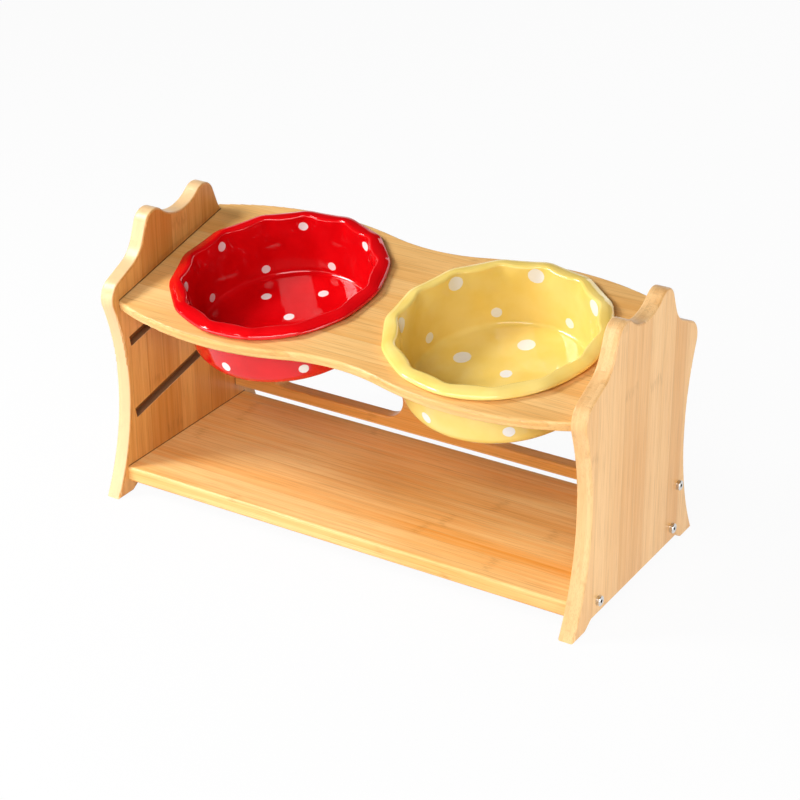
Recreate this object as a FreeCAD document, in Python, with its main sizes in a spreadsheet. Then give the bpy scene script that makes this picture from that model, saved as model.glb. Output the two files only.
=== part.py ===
import FreeCAD, Part
import math
import os
import re

import Sketcher

# Raised double bowl stand in bamboo: two side panels carry a shelf, a back rail and a sloping tabletop,
# and two ceramic bowls hang by their rims in the tabletop's holes.
# X runs along the stand, -Y is the front, Z is up; the origin is on the floor, midway between the four feet.

# Driving dimensions, in millimetres and degrees.
SIZES = {
    "overall_length": 400.0,
    "ear_height": 215.7,
    "bowl_gap": 18.8,
    "bowl_end_margin": 14.2,
    "bowl_lip_reach": 6.7,
    "bowl_lip_bottom": 2.8,
    "bowl_lip_thickness": 2.9,
    "bowl_lip_fall": 2.3,
    "bowl_seat_width": 3.1,
    "bowl_crest_width": 3.0,
    "bowl_wall": 5.0,
    "bowl_taper": 4.0,
    "bowl_inner_depth": 41.5,
    "bowl_base_thickness": 5.0,
    "bowl_heel_round": 10.0,
    "bowl_floor_round": 7.0,
    "bowl_foot_step": 4.5,
    "bowl_foot_recess": 1.5,
    "bowl_hole_clearance": 1.0,
    "tilt": 12.5,
    "table_offset": 9.6,
    "table_drop": 41.5,
    "table_thickness": 8.0,
    "table_clearance": 0.3,
    "table_margin": 10.0,
    "table_swell": 13.5,
    "table_lobe_offset": 11.4,
    "table_neck": 1.0,
    "table_edge_round": 2.2,
    "table_hole_round": 1.0,
    "panel_thickness": 12.0,
    "foot_spread": 7.5,
    "foot_width": 18.0,
    "arch_run": 9.0,
    "arch_height": 5.5,
    "side_radius": 190.0,
    "waist_lift": 0.9,
    "shoulder_slope": 24.4,
    "shoulder_radius": 15.0,
    "notch_drop": 30.2,
    "notch_radius": 26.0,
    "ear_reach": 30.5,
    "ear_width": 20.5,
    "ear_radius": 12.5,
    "dip_drop": 11.4,
    "panel_edge_round": 1.6,
    "groove_depth": 6.0,
    "groove_margin": 7.0,
    "middle_groove_drop": 34.5,
    "groove_over_rail": 3.5,
    "shelf_thickness": 12.0,
    "shelf_top": 22.5,
    "shelf_front_inset": 13.0,
    "shelf_back_inset": 21.5,
    "shelf_edge_round": 2.0,
    "rail_thickness": 12.0,
    "rail_inset": 1.0,
    "rail_gap": 10.0,
    "rail_tall": 50.0,
    "rail_edge_round": 1.5,
    "slot_tall": 31.0,
    "slot_bridge": 60.0,
    "slot_end_margin": 33.0,
    "screw_head_diameter": 7.5,
    "screw_head_tall": 2.7,
    "screw_head_round": 0.5,
    "screw_shank_diameter": 4.0,
    "screw_length": 35.0,
    "screw_tip_length": 4.0,
    "screw_socket_flats": 2.5,
    "screw_socket_depth": 1.6,
    "screw_clearance": 0.15,
    "shelf_screw_front_inset": 23.0,
    "shelf_screw_back_inset": 14.5,
    "rail_screw_drop": 9.0,
    "dowel_diameter": 6.0,
    "dowel_length": 20.0,
    "dowel_panel_depth": 8.0,
    "dowel_clearance": 0.1,
    "dowel_chamfer": 0.8,
}

COSINE = "cos(tilt * 1 deg)"
SINE = "sin(tilt * 1 deg)"


def groove_stop(drop):
    """Distance along a groove, from under the tabletop's middle, to its closed front end.

    The end lies on the panel's front side curve moved back by the margin, so it is where a straight line meets
    a circle: the larger root of s^2 + 2 b s + c.
    """
    away_y = f"(side_centre - groove_margin - table_offset + table_thickness / 2 * {SINE})"
    away_z = f"(table_height - {drop} - table_thickness / 2 * {COSINE} - waist_height)"
    half_b = f"({away_y} * {COSINE} + {away_z} * {SINE})"
    c = f"({away_y}^2 + {away_z}^2 - side_radius^2)"
    return f"(-{half_b} + sqrt({half_b}^2 - {c}))"


# Sizes that follow from others. The length between the panels sets the bowls, the tabletop is as large as the
# bowls need, and the panels are as deep as the tabletop. Heights hang from the tops of the panels' ears.
FOLLOWING = {
    "inner_half": "overall_length / 2 - panel_thickness",
    "bowl_rim_radius": "(inner_half - bowl_end_margin - bowl_gap / 2) / 2",
    "bowl_spacing": "2 * bowl_rim_radius + bowl_gap",
    "bowl_body_radius": "bowl_rim_radius - bowl_lip_reach",
    "bowl_hole_radius": "bowl_body_radius + bowl_hole_clearance",
    "bowl_seat_radius": "bowl_body_radius + bowl_seat_width",
    "bowl_mouth_radius": "bowl_body_radius - bowl_wall",
    "bowl_crest_radius": "bowl_mouth_radius + bowl_crest_width",
    "bowl_heel_radius": "bowl_body_radius - bowl_taper",
    "bowl_floor_radius": "bowl_heel_radius - bowl_wall",
    "bowl_foot_radius": "bowl_heel_radius - bowl_heel_round - bowl_foot_step",
    "bowl_lip_top": "bowl_lip_bottom + bowl_lip_thickness",
    "bowl_crest_height": "bowl_lip_top + bowl_lip_fall",
    "bowl_rim_round": "0.4 * bowl_lip_thickness",
    "table_lobe_reach": "bowl_hole_radius + table_margin",
    "table_waist_reach": "table_lobe_reach - table_swell",
    "table_lobe_spacing": "bowl_spacing + 2 * table_lobe_offset",
    "foot_reach": "table_lobe_reach + foot_spread",
    "foot_inner_reach": "foot_reach - foot_width",
    "arch_reach": "foot_inner_reach - arch_run",
    "table_height": "ear_height - table_drop",
    "notch_height": "ear_height - notch_drop",
    "dip_height": "ear_height - dip_drop",
    "notch_reach": "ear_reach + ear_width",
    "waist_height": "table_height / 2 + waist_lift",
    "side_centre": "foot_reach + sqrt(side_radius^2 - waist_height^2)",
    "shelf_front_reach": "foot_reach - shelf_front_inset",
    "shelf_back_reach": "foot_reach - shelf_back_inset",
    "rail_back_reach": "shelf_back_reach - rail_inset",
    "rail_front_reach": "rail_back_reach - rail_thickness",
    "rail_bottom": "shelf_top + rail_gap",
    "rail_top": "rail_bottom + rail_tall",
    "slot_length": "inner_half - slot_bridge / 2 - slot_end_margin",
    "lower_groove_drop": "table_height + (rail_front_reach + table_offset) * tan(tilt * 1 deg)"
                         f" - (table_thickness + table_clearance) / {COSINE} - rail_top - groove_over_rail",
    "upper_groove_stop": groove_stop("0"),
    "table_lobe_drop": "table_lobe_reach + upper_groove_stop + table_clearance - table_neck",
    "table_lobe_run": "inner_half - table_clearance - table_lobe_spacing / 2",
    "table_lobe_radius": "(table_lobe_run^2 + table_lobe_drop^2) / (2 * table_lobe_drop)",
}

doc = FreeCAD.newDocument("bowl_stand")
sheet = doc.addObject("Spreadsheet::Sheet", "Sizes")
NAMED = {**SIZES, **FOLLOWING}
for row, (alias, size) in enumerate(NAMED.items(), start=1):
    sheet.set(f"A{row}", alias)
    sheet.set(f"B{row}", f"={size}")
    sheet.setAlias(f"B{row}", alias)
doc.recompute()

SUB_PARTS = []


def bound(text):
    """Turns a formula written in bare size names into one that reads the sheet's cells."""
    return re.sub(r"[a-z][a-z_]+", lambda word: f"Sizes.{word[0]}" if word[0] in NAMED else word[0], text)


def number(text):
    """The present value of a formula written in size names."""
    return float(sheet.evalExpression(bound(text)))


def vector(x, y):
    return FreeCAD.Vector(x, y, 0)


def new_body(label):
    body = doc.addObject("PartDesign::Body", label)
    body.Label = label
    SUB_PARTS.append(body)
    return body


def place(body, x="0", y="0", z="0", turn="0"):
    """Puts a body at its place; turn is about the X axis, in degrees."""
    body.Placement.Rotation = FreeCAD.Rotation(FreeCAD.Vector(1, 0, 0), 1)
    body.setExpression("Placement.Base.x", bound(x))
    body.setExpression("Placement.Base.y", bound(y))
    body.setExpression("Placement.Base.z", bound(z))
    body.setExpression("Placement.Rotation.Angle", bound(f"({turn}) * 1 deg"))


def origin_plane(body, role):
    return next(plane for plane in body.Origin.OriginFeatures if plane.Role == role)


def new_sketch(body, name, role, offset="0"):
    """A sketch on one of the body's own planes, moved along the plane's normal by the offset formula."""
    sketch = body.newObject("Sketcher::SketchObject", name)
    sketch.AttachmentSupport = [(origin_plane(body, role), "")]
    sketch.MapMode = "FlatFace"
    sketch.setExpression("AttachmentOffset.Base.z", bound(offset))
    return sketch


def constrain(sketch, *terms):
    return sketch.addConstraint(Sketcher.Constraint(*terms))


def dimension(sketch, kind, refs, formula):
    """A dimension of the sketch that follows a formula in size names."""
    value = math.radians(number(formula)) if kind == "Angle" else number(formula)
    index = constrain(sketch, kind, *refs, value)
    sketch.setExpression(f"Constraints[{index}]", bound(f"({formula}) * 1 deg" if kind == "Angle" else formula))


def pin(sketch, geometry, point, x, y):
    """Fixes a point of the sketch at two formulas, one for each axis; a zero puts it on the axis itself."""
    for kind, axis, formula in (("DistanceX", -2, x), ("DistanceY", -1, y)):
        if formula == "0":
            constrain(sketch, "PointOnObject", geometry, point, axis)
        elif number(formula) < 0:
            dimension(sketch, kind, (geometry, point, -1, 1), f"-({formula})")
        else:
            dimension(sketch, kind, (-1, 1, geometry, point), formula)


def polygon(sketch, corners):
    """A closed outline of straight lines through corners that are pairs of formulas."""
    points = [vector(number(x), number(y)) for x, y in corners]
    first = sketch.GeometryCount
    for index, point in enumerate(points):
        sketch.addGeometry(Part.LineSegment(point, points[(index + 1) % len(points)]))
    for index, (x, y) in enumerate(corners):
        constrain(sketch, "Coincident", first + (index - 1) % len(corners), 2, first + index, 1)
        pin(sketch, first + index, 1, x, y)


def line(sketch, start, end):
    return sketch.addGeometry(Part.LineSegment(start, end))


def arc(sketch, centre, radius, start, end):
    """An arc that turns anticlockwise about its centre from start to end."""
    first = math.atan2(start.y - centre.y, start.x - centre.x)
    last = math.atan2(end.y - centre.y, end.x - centre.x)
    form = Part.Circle(centre, FreeCAD.Vector(0, 0, 1), radius)
    return sketch.addGeometry(Part.ArcOfCircle(form, first, last))


def circle(sketch, x, y, radius):
    index = sketch.addGeometry(Part.Circle(vector(number(x), number(y)), FreeCAD.Vector(0, 0, 1), number(radius)))
    pin(sketch, index, 3, x, y)
    dimension(sketch, "Radius", (index,), radius)


def settle(feature):
    """Works the feature out and stops the build if it isn't sound."""
    doc.recompute()
    if not feature.isValid() or feature.Shape.isNull():
        raise RuntimeError(f"{feature.Label} failed: {feature.getStatusString()}")
    return feature


def pad(body, sketch, name, length, reverse=False, midplane=False):
    feature = body.newObject("PartDesign::Pad", name)
    feature.Profile = sketch
    feature.Reversed = reverse
    feature.Midplane = midplane
    feature.setExpression("Length", bound(length))
    return settle(feature)


def pocket(body, sketch, name, length, reverse=False):
    """A cut of the sketch's outlines; it stops the build if it takes nothing away."""
    before = body.Shape.Volume
    feature = body.newObject("PartDesign::Pocket", name)
    feature.Profile = sketch
    feature.Reversed = reverse
    feature.setExpression("Length", bound(length))
    settle(feature)
    if body.Shape.Volume >= before:
        raise RuntimeError(f"{body.Label}: {name} cuts nothing")
    return feature


def mirrored(body, feature, name, role):
    """Adds the feature's mirror image. Faces stay split at the mirror plane: edges of merged faces round badly."""
    mirror = body.newObject("PartDesign::Mirrored", name)
    mirror.Originals = [feature]
    mirror.Refine = False
    mirror.MirrorPlane = (origin_plane(body, role), [""])
    body.Tip = mirror
    return settle(mirror)


def rounded(body, name, radius, wanted):
    """Rounds the edges of the body's present tip that the test wanted picks."""
    base = body.Tip
    names = [f"Edge{index}" for index, edge in enumerate(base.Shape.Edges, start=1) if wanted(edge)]
    fillet = body.newObject("PartDesign::Fillet", name)
    fillet.Base = (base, names)
    fillet.setExpression("Radius", bound(radius))
    return settle(fillet)


def is_level(edge, axis, value):
    """True where the whole edge lies in the plane at that value of one axis: 0 is X, 1 is Y and 2 is Z."""
    low = (edge.BoundBox.XMin, edge.BoundBox.YMin, edge.BoundBox.ZMin)[axis]
    high = (edge.BoundBox.XMax, edge.BoundBox.YMax, edge.BoundBox.ZMax)[axis]
    return abs(low - value) < 1e-4 and abs(high - value) < 1e-4


# Formulas that more than one piece uses.
SHELF_MIDDLE = "(shelf_top - shelf_thickness / 2)"
RAIL_MIDDLE = "(rail_bottom + rail_tall / 2)"
RAIL_DEPTH_MIDDLE = "(rail_back_reach - rail_thickness / 2)"
SCREW_HOLE = "(screw_shank_diameter / 2 + screw_clearance)"
DOWEL_HOLE = "(dowel_diameter / 2 + dowel_clearance)"

# Where the screws and dowels cross the panels, as pairs of Y and Z.
SCREW_PLACES = {
    "shelf_front_screw": ("shelf_screw_front_inset - shelf_front_reach", SHELF_MIDDLE),
    "shelf_back_screw": ("shelf_back_reach - shelf_screw_back_inset", SHELF_MIDDLE),
    "rail_screw": (RAIL_DEPTH_MIDDLE, f"{RAIL_MIDDLE} - rail_screw_drop"),
}
DOWEL_PLACE = (RAIL_DEPTH_MIDDLE, f"{RAIL_MIDDLE} + rail_screw_drop")


def panel_outline(sketch):
    """The front half of a panel's outline, from the mid-plane round the foot, side, shoulder and ear."""
    side_radius = number("side_radius")
    side = vector(number("side_centre"), number("waist_height"))
    notch = vector(number("notch_reach"), number("notch_height"))
    slope = math.radians(number("shoulder_slope"))
    down = vector(math.cos(slope), -math.sin(slope))
    out = vector(math.sin(slope), math.cos(slope))

    # The shoulder's round touches the slope from inside and the hollow side curve from outside.
    shoulder_radius = number("shoulder_radius")
    inside = notch - out * shoulder_radius - side
    along = inside.dot(down)
    reach = -along - math.sqrt(along ** 2 - inside.dot(inside) + (side_radius + shoulder_radius) ** 2)
    shoulder = notch - out * shoulder_radius + down * reach
    shoulder_low = shoulder + (side - shoulder) * (shoulder_radius / (side_radius + shoulder_radius))
    shoulder_high = shoulder + out * shoulder_radius

    # The ear's steep side runs from the notch's corner to touch the ear's round.
    ear_radius = number("ear_radius")
    ear = vector(number("ear_reach"), number("ear_height - ear_radius"))
    to_ear = ear - notch
    lean = math.atan2(to_ear.y, to_ear.x) - math.asin(ear_radius / to_ear.Length)
    steep = vector(math.cos(lean), math.sin(lean))
    ear_low = notch + steep * math.sqrt(to_ear.Length ** 2 - ear_radius ** 2)
    corner = math.acos(steep.dot(down))
    setback = number("notch_radius") / math.tan(corner / 2)
    notch_low = notch + down * setback
    notch_high = notch + steep * setback
    bisector = (down + steep).normalize()
    notch_centre = notch + bisector * (number("notch_radius") / math.sin(corner / 2))

    # The dip between the ears is a hollow round that touches them both.
    dip = number("dip_height")
    rise = dip - ear.y
    dip_radius = (ear.x ** 2 + rise ** 2 - ear_radius ** 2) / (2 * (ear_radius - rise))
    dip_centre = vector(0, dip + dip_radius)
    ear_high = ear + (dip_centre - ear) * (ear_radius / (ear_radius + dip_radius))

    arch_middle = vector(0, number("arch_height"))
    arch_end = vector(number("arch_reach"), number("arch_height"))
    foot_inner = vector(number("foot_inner_reach"), 0)
    foot_outer = vector(number("foot_reach"), 0)
    arch_line = line(sketch, arch_middle, arch_end)
    arch_slant = line(sketch, arch_end, foot_inner)
    foot_line = line(sketch, foot_inner, foot_outer)
    side_arc = arc(sketch, side, side_radius, shoulder_low, foot_outer)
    shoulder_arc = arc(sketch, shoulder, shoulder_radius, shoulder_low, shoulder_high)
    slope_line = line(sketch, shoulder_high, notch_low)
    notch_arc = arc(sketch, notch_centre, number("notch_radius"), notch_high, notch_low)
    steep_line = line(sketch, notch_high, ear_low)
    ear_arc = arc(sketch, ear, ear_radius, ear_low, ear_high)
    dip_arc = arc(sketch, dip_centre, dip_radius, vector(0, dip), ear_high)
    middle_line = line(sketch, vector(0, dip), arch_middle)
    notch_point = sketch.addGeometry(Part.Point(notch), True)

    start, end, centre = 1, 2, 3
    constrain(sketch, "Coincident", arch_line, end, arch_slant, start)
    constrain(sketch, "Coincident", arch_slant, end, foot_line, start)
    constrain(sketch, "Coincident", foot_line, end, side_arc, end)
    constrain(sketch, "Tangent", side_arc, start, shoulder_arc, start)
    constrain(sketch, "Tangent", shoulder_arc, end, slope_line, start)
    constrain(sketch, "Tangent", slope_line, end, notch_arc, end)
    constrain(sketch, "Tangent", notch_arc, start, steep_line, start)
    constrain(sketch, "Tangent", steep_line, end, ear_arc, start)
    constrain(sketch, "Tangent", ear_arc, end, dip_arc, end)
    constrain(sketch, "Coincident", dip_arc, start, middle_line, start)
    constrain(sketch, "Coincident", middle_line, end, arch_line, start)
    pin(sketch, arch_line, start, "0", "arch_height")
    pin(sketch, arch_line, end, "arch_reach", "arch_height")
    pin(sketch, foot_line, start, "foot_inner_reach", "0")
    pin(sketch, foot_line, end, "foot_reach", "0")
    dimension(sketch, "DistanceY", (-1, 1, side_arc, centre), "waist_height")
    dimension(sketch, "Radius", (side_arc,), "side_radius")
    dimension(sketch, "Radius", (shoulder_arc,), "shoulder_radius")
    pin(sketch, notch_point, 1, "notch_reach", "notch_height")
    constrain(sketch, "PointOnObject", notch_point, 1, slope_line)
    constrain(sketch, "PointOnObject", notch_point, 1, steep_line)
    dimension(sketch, "Angle", (-1, 1, slope_line, start), "180 - shoulder_slope")
    dimension(sketch, "Radius", (notch_arc,), "notch_radius")
    pin(sketch, ear_arc, centre, "ear_reach", "ear_height - ear_radius")
    dimension(sketch, "Radius", (ear_arc,), "ear_radius")
    pin(sketch, dip_arc, start, "0", "dip_height")
    constrain(sketch, "PointOnObject", dip_arc, centre, -2)


def side_panel(label, side):
    """A side panel; side is -1 for the left one and 1 for the right one, which is its mirror image."""
    left = side < 0
    body = new_body(label)
    outline = new_sketch(body, f"{label}_outline", "YZ_Plane")
    panel_outline(outline)
    half = pad(body, outline, f"{label}_half", "panel_thickness", reverse=not left)
    mirrored(body, half, f"{label}_whole", "XZ_Plane")
    inner = number("panel_thickness") * -side

    def outline_edge(edge):
        return (is_level(edge, 0, 0) or is_level(edge, 0, inner)) and not is_level(edge, 1, 0)

    rounded(body, f"{label}_edges", "panel_edge_round", outline_edge)

    # Three sloping grooves in the inner face, closed at the front and open at the back.
    inner_offset = "panel_thickness" if left else "-panel_thickness"
    for name, drop in (("upper", "0"), ("middle", "middle_groove_drop"), ("lower", "lower_groove_drop")):
        groove = new_sketch(body, f"{label}_{name}_groove", "YZ_Plane", inner_offset)
        front = groove_stop(drop)
        back = "2 * foot_reach"
        below = "-table_thickness - table_clearance"
        corners = []
        for along, up in ((front, below), (back, below), (back, "table_clearance"), (front, "table_clearance")):
            corners.append((
                f"-table_offset + ({along}) * {COSINE} - ({up}) * {SINE}",
                f"table_height - {drop} + ({along}) * {SINE} + ({up}) * {COSINE}",
            ))
        polygon(groove, corners)
        pocket(body, groove, f"{label}_{name}_cut", "groove_depth", reverse=not left)

    # Clear holes for the screws and a blind hole for the rail's dowel.
    holes = new_sketch(body, f"{label}_screw_holes", "YZ_Plane")
    for y, z in SCREW_PLACES.values():
        circle(holes, y, z, SCREW_HOLE)
    pocket(body, holes, f"{label}_screw_cut", "panel_thickness", reverse=left)
    seat = new_sketch(body, f"{label}_dowel_hole", "YZ_Plane", inner_offset)
    circle(seat, *DOWEL_PLACE, DOWEL_HOLE)
    pocket(body, seat, f"{label}_dowel_cut", "dowel_panel_depth", reverse=not left)
    place(body, x=f"{side} * overall_length / 2")


def end_holes(body, name, places, radius, depth):
    """Holes into both ends of a board that lies between the panels, at places given in the stand's Y and Z."""
    sketch = new_sketch(body, name, "YZ_Plane", "inner_half")
    for y, z in places:
        circle(sketch, y, z, radius)
    cut = pocket(body, sketch, f"{name}_right", depth)
    mirrored(body, cut, f"{name}_both", "YZ_Plane")


SCREW_BOARD_DEPTH = "(screw_length - panel_thickness + screw_clearance)"
DOWEL_BOARD_DEPTH = "(dowel_length - dowel_panel_depth + dowel_clearance)"


def bottom_shelf():
    """The flat board between the feet, with rounded front and back edges and screw holes in its ends."""
    body = new_body("bottom_shelf")
    outline = new_sketch(body, "shelf_section", "YZ_Plane")
    front, back = "-shelf_front_reach", "shelf_back_reach"
    low, high = "shelf_top - shelf_thickness", "shelf_top"
    polygon(outline, [(front, low), (back, low), (back, high), (front, high)])
    pad(body, outline, "shelf_board", "2 * inner_half", midplane=True)

    def long_edge(edge):
        return edge.BoundBox.XLength > 1.9 * number("inner_half")

    rounded(body, "shelf_edges", "shelf_edge_round", long_edge)
    places = [SCREW_PLACES["shelf_front_screw"], SCREW_PLACES["shelf_back_screw"]]
    end_holes(body, "shelf_screw_hole", places, SCREW_HOLE, SCREW_BOARD_DEPTH)


def slot_outline(sketch, side):
    """One oblong slot with half-round ends, on the left or right of the rail's bridge."""
    radius = number("slot_tall / 2")
    middle = number(RAIL_MIDDLE)
    near = f"{side} * (slot_bridge / 2 + slot_tall / 2)"
    far = f"{side} * (slot_bridge / 2 + slot_length - slot_tall / 2)"
    low_x, high_x = sorted((near, far), key=number)
    left, right = number(low_x), number(high_x)
    up = FreeCAD.Vector(0, 0, 1)
    quarter = math.pi / 2
    right_form = Part.Circle(vector(right, middle), up, radius)
    left_form = Part.Circle(vector(left, middle), up, radius)
    right_end = sketch.addGeometry(Part.ArcOfCircle(right_form, -quarter, quarter))
    left_end = sketch.addGeometry(Part.ArcOfCircle(left_form, quarter, 3 * quarter))
    top = sketch.addGeometry(Part.LineSegment(vector(right, middle + radius), vector(left, middle + radius)))
    bottom = sketch.addGeometry(Part.LineSegment(vector(left, middle - radius), vector(right, middle - radius)))
    constrain(sketch, "Tangent", right_end, 2, top, 1)
    constrain(sketch, "Tangent", top, 2, left_end, 1)
    constrain(sketch, "Tangent", left_end, 2, bottom, 1)
    constrain(sketch, "Tangent", bottom, 2, right_end, 1)
    pin(sketch, right_end, 3, high_x, RAIL_MIDDLE)
    dimension(sketch, "DistanceX", (left_end, 3, right_end, 3), "slot_length - slot_tall")
    dimension(sketch, "Radius", (right_end,), "slot_tall / 2")
    constrain(sketch, "Horizontal", bottom)


def back_rail():
    """The upright board over the shelf's back edge, with two long slots that serve as hand holes."""
    body = new_body("back_rail")
    face = new_sketch(body, "rail_face", "XZ_Plane", "-rail_back_reach")
    low, high = "rail_bottom", "rail_top"
    left, right = "-inner_half", "inner_half"
    polygon(face, [(left, low), (right, low), (right, high), (left, high)])
    for side in (-1, 1):
        slot_outline(face, side)
    pad(body, face, "rail_board", "rail_thickness")
    half = number("inner_half")
    back = number("rail_back_reach")
    front = back - number("rail_thickness")

    def face_edge(edge):
        on_face = is_level(edge, 1, front) or is_level(edge, 1, back)
        return on_face and not is_level(edge, 0, half) and not is_level(edge, 0, -half)

    rounded(body, "rail_edges", "rail_edge_round", face_edge)
    end_holes(body, "rail_screw_hole", [SCREW_PLACES["rail_screw"]], SCREW_HOLE, SCREW_BOARD_DEPTH)
    end_holes(body, "rail_dowel_hole", [DOWEL_PLACE], DOWEL_HOLE, DOWEL_BOARD_DEPTH)


TONGUE_END = "(inner_half + groove_depth - table_clearance)"


def table_outline(sketch):
    """The tabletop's outline: hollow in the middle and full round each bowl, front and back alike.

    A lobe's round and the waist's hollow round touch; with w the lobe's reach less the waist's and x the lobe's
    distance from the middle, their radii add up to (x^2 + w^2) / 2 w.
    """
    lobe_x = "(table_lobe_spacing / 2)"
    lobe_y = "(table_lobe_reach - table_lobe_radius)"
    swell = "(table_lobe_reach - table_waist_reach)"
    both_radii = f"(({lobe_x}^2 + {swell}^2) / (2 * {swell}))"
    waist_radius = f"({both_radii} - table_lobe_radius)"
    lobe_size, waist_size = number("table_lobe_radius"), number(waist_radius)
    across, along = number(lobe_y), number(lobe_x)
    waist_y = number("table_waist_reach") + waist_size
    touch = waist_size / number(both_radii)
    touch_x = along * touch
    touch_y = waist_y + (across - waist_y) * touch
    end_x = number(TONGUE_END)
    end_y = across + math.sqrt(lobe_size ** 2 - (end_x - along) ** 2)

    def lobe(side, depth, start, end):
        """One lobe's arc; side and depth are the signs of its place along X and Y."""
        index = arc(sketch, vector(side * along, depth * across), lobe_size, start, end)
        pin(sketch, index, 3, f"{side} * {lobe_x}", f"{depth} * {lobe_y}")
        dimension(sketch, "Radius", (index,), "table_lobe_radius")
        return index

    def waist(depth, start, end):
        """The hollow arc between two lobes, at the front for a depth of -1 and at the back for 1."""
        index = arc(sketch, vector(0, depth * waist_y), waist_size, start, end)
        dimension(sketch, "Radius", (index,), waist_radius)
        return index

    front_left = lobe(-1, -1, vector(-end_x, -end_y), vector(-touch_x, -touch_y))
    front_waist = waist(-1, vector(touch_x, -touch_y), vector(-touch_x, -touch_y))
    front_right = lobe(1, -1, vector(touch_x, -touch_y), vector(end_x, -end_y))
    right_end = line(sketch, vector(end_x, -end_y), vector(end_x, end_y))
    back_right = lobe(1, 1, vector(end_x, end_y), vector(touch_x, touch_y))
    back_waist = waist(1, vector(-touch_x, touch_y), vector(touch_x, touch_y))
    back_left = lobe(-1, 1, vector(-touch_x, touch_y), vector(-end_x, end_y))
    left_end = line(sketch, vector(-end_x, end_y), vector(-end_x, -end_y))

    constrain(sketch, "Tangent", front_left, 2, front_waist, 2)
    constrain(sketch, "Tangent", front_waist, 1, front_right, 1)
    constrain(sketch, "Tangent", back_right, 2, back_waist, 2)
    constrain(sketch, "Tangent", back_waist, 1, back_left, 1)
    constrain(sketch, "Coincident", front_right, 2, right_end, 1)
    constrain(sketch, "Coincident", right_end, 2, back_right, 1)
    constrain(sketch, "Coincident", back_left, 2, left_end, 1)
    constrain(sketch, "Coincident", left_end, 2, front_left, 1)
    constrain(sketch, "Vertical", right_end)
    constrain(sketch, "Vertical", left_end)
    dimension(sketch, "DistanceX", (-1, 1, right_end, 1), TONGUE_END)
    dimension(sketch, "DistanceX", (left_end, 1, -1, 1), TONGUE_END)


def tabletop():
    """The sloping board that carries the bowls: two round holes, and a tongue at each end for the grooves."""
    body = new_body("tabletop")
    outline = new_sketch(body, "table_plan", "XY_Plane")
    table_outline(outline)
    pad(body, outline, "table_board", "table_thickness", reverse=True)
    bottom = -number("table_thickness")

    def curved_edge(edge):
        flat = is_level(edge, 2, 0) or is_level(edge, 2, bottom)
        return flat and edge.Curve.TypeId == "Part::GeomCircle"

    rounded(body, "table_edges", "table_edge_round", curved_edge)

    # The front corners are notched so that the tongues begin behind the grooves' closed ends.
    notches = new_sketch(body, "table_notches", "XY_Plane")
    for side in (-1, 1):
        near = f"{side} * (inner_half - table_clearance)"
        far = f"{side} * overall_length / 2"
        front, back = "-table_lobe_reach", "upper_groove_stop + table_clearance"
        polygon(notches, [(near, front), (far, front), (far, back), (near, back)])
    pocket(body, notches, "table_notch_cut", "table_thickness")
    holes = new_sketch(body, "table_holes", "XY_Plane")
    for side in (-1, 1):
        circle(holes, f"{side} * bowl_spacing / 2", "0", "bowl_hole_radius")
    pocket(body, holes, "table_hole_cut", "table_thickness")
    hole_radius = number("bowl_hole_radius")

    def hole_edge(edge):
        return curved_edge(edge) and abs(edge.Curve.Radius - hole_radius) < 1e-4

    rounded(body, "table_hole_edges", "table_hole_round", hole_edge)
    place(body, y="-table_offset", z="table_height", turn="tilt")


def bowl(label, side):
    """A ceramic bowl, turned about its own axis; a flat ring under its flared rim lies on the tabletop."""
    body = new_body(label)
    section = new_sketch(body, f"{label}_section", "XZ_Plane")
    floor = "-bowl_inner_depth"
    base = "(-bowl_inner_depth - bowl_base_thickness)"
    polygon(section, [
        ("0", floor), ("bowl_floor_radius", floor), ("bowl_mouth_radius", "bowl_crest_height"),
        ("bowl_crest_radius", "bowl_crest_height"), ("bowl_rim_radius", "bowl_lip_top"),
        ("bowl_rim_radius", "bowl_lip_bottom"), ("bowl_seat_radius", "0"), ("bowl_body_radius", "0"),
        ("bowl_heel_radius", base), ("bowl_foot_radius", base),
        ("bowl_foot_radius - bowl_foot_recess", f"{base} + bowl_foot_recess"), ("0", f"{base} + bowl_foot_recess"),
    ])
    turned = body.newObject("PartDesign::Revolution", f"{label}_turned")
    turned.Profile = section
    turned.ReferenceAxis = (section, ["V_Axis"])
    turned.Angle = 360
    settle(turned)

    def ring_at(radius, height):
        """A test for the round edge of one radius at one height."""
        def wanted(edge):
            if edge.Curve.TypeId != "Part::GeomCircle":
                return False
            return abs(edge.Curve.Radius - number(radius)) < 1e-4 and is_level(edge, 2, number(height))
        return wanted

    rounded(body, f"{label}_heel", "bowl_heel_round", ring_at("bowl_heel_radius", base))
    rounded(body, f"{label}_floor", "bowl_floor_round", ring_at("bowl_floor_radius", floor))
    tests = [
        ring_at("bowl_mouth_radius", "bowl_crest_height"), ring_at("bowl_crest_radius", "bowl_crest_height"),
        ring_at("bowl_rim_radius", "bowl_lip_top"), ring_at("bowl_rim_radius", "bowl_lip_bottom"),
    ]
    rounded(body, f"{label}_rim", "bowl_rim_round", lambda edge: any(test(edge) for test in tests))
    place(body, x=f"{side} * bowl_spacing / 2", y="-table_offset", z="table_height", turn="tilt")


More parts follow.
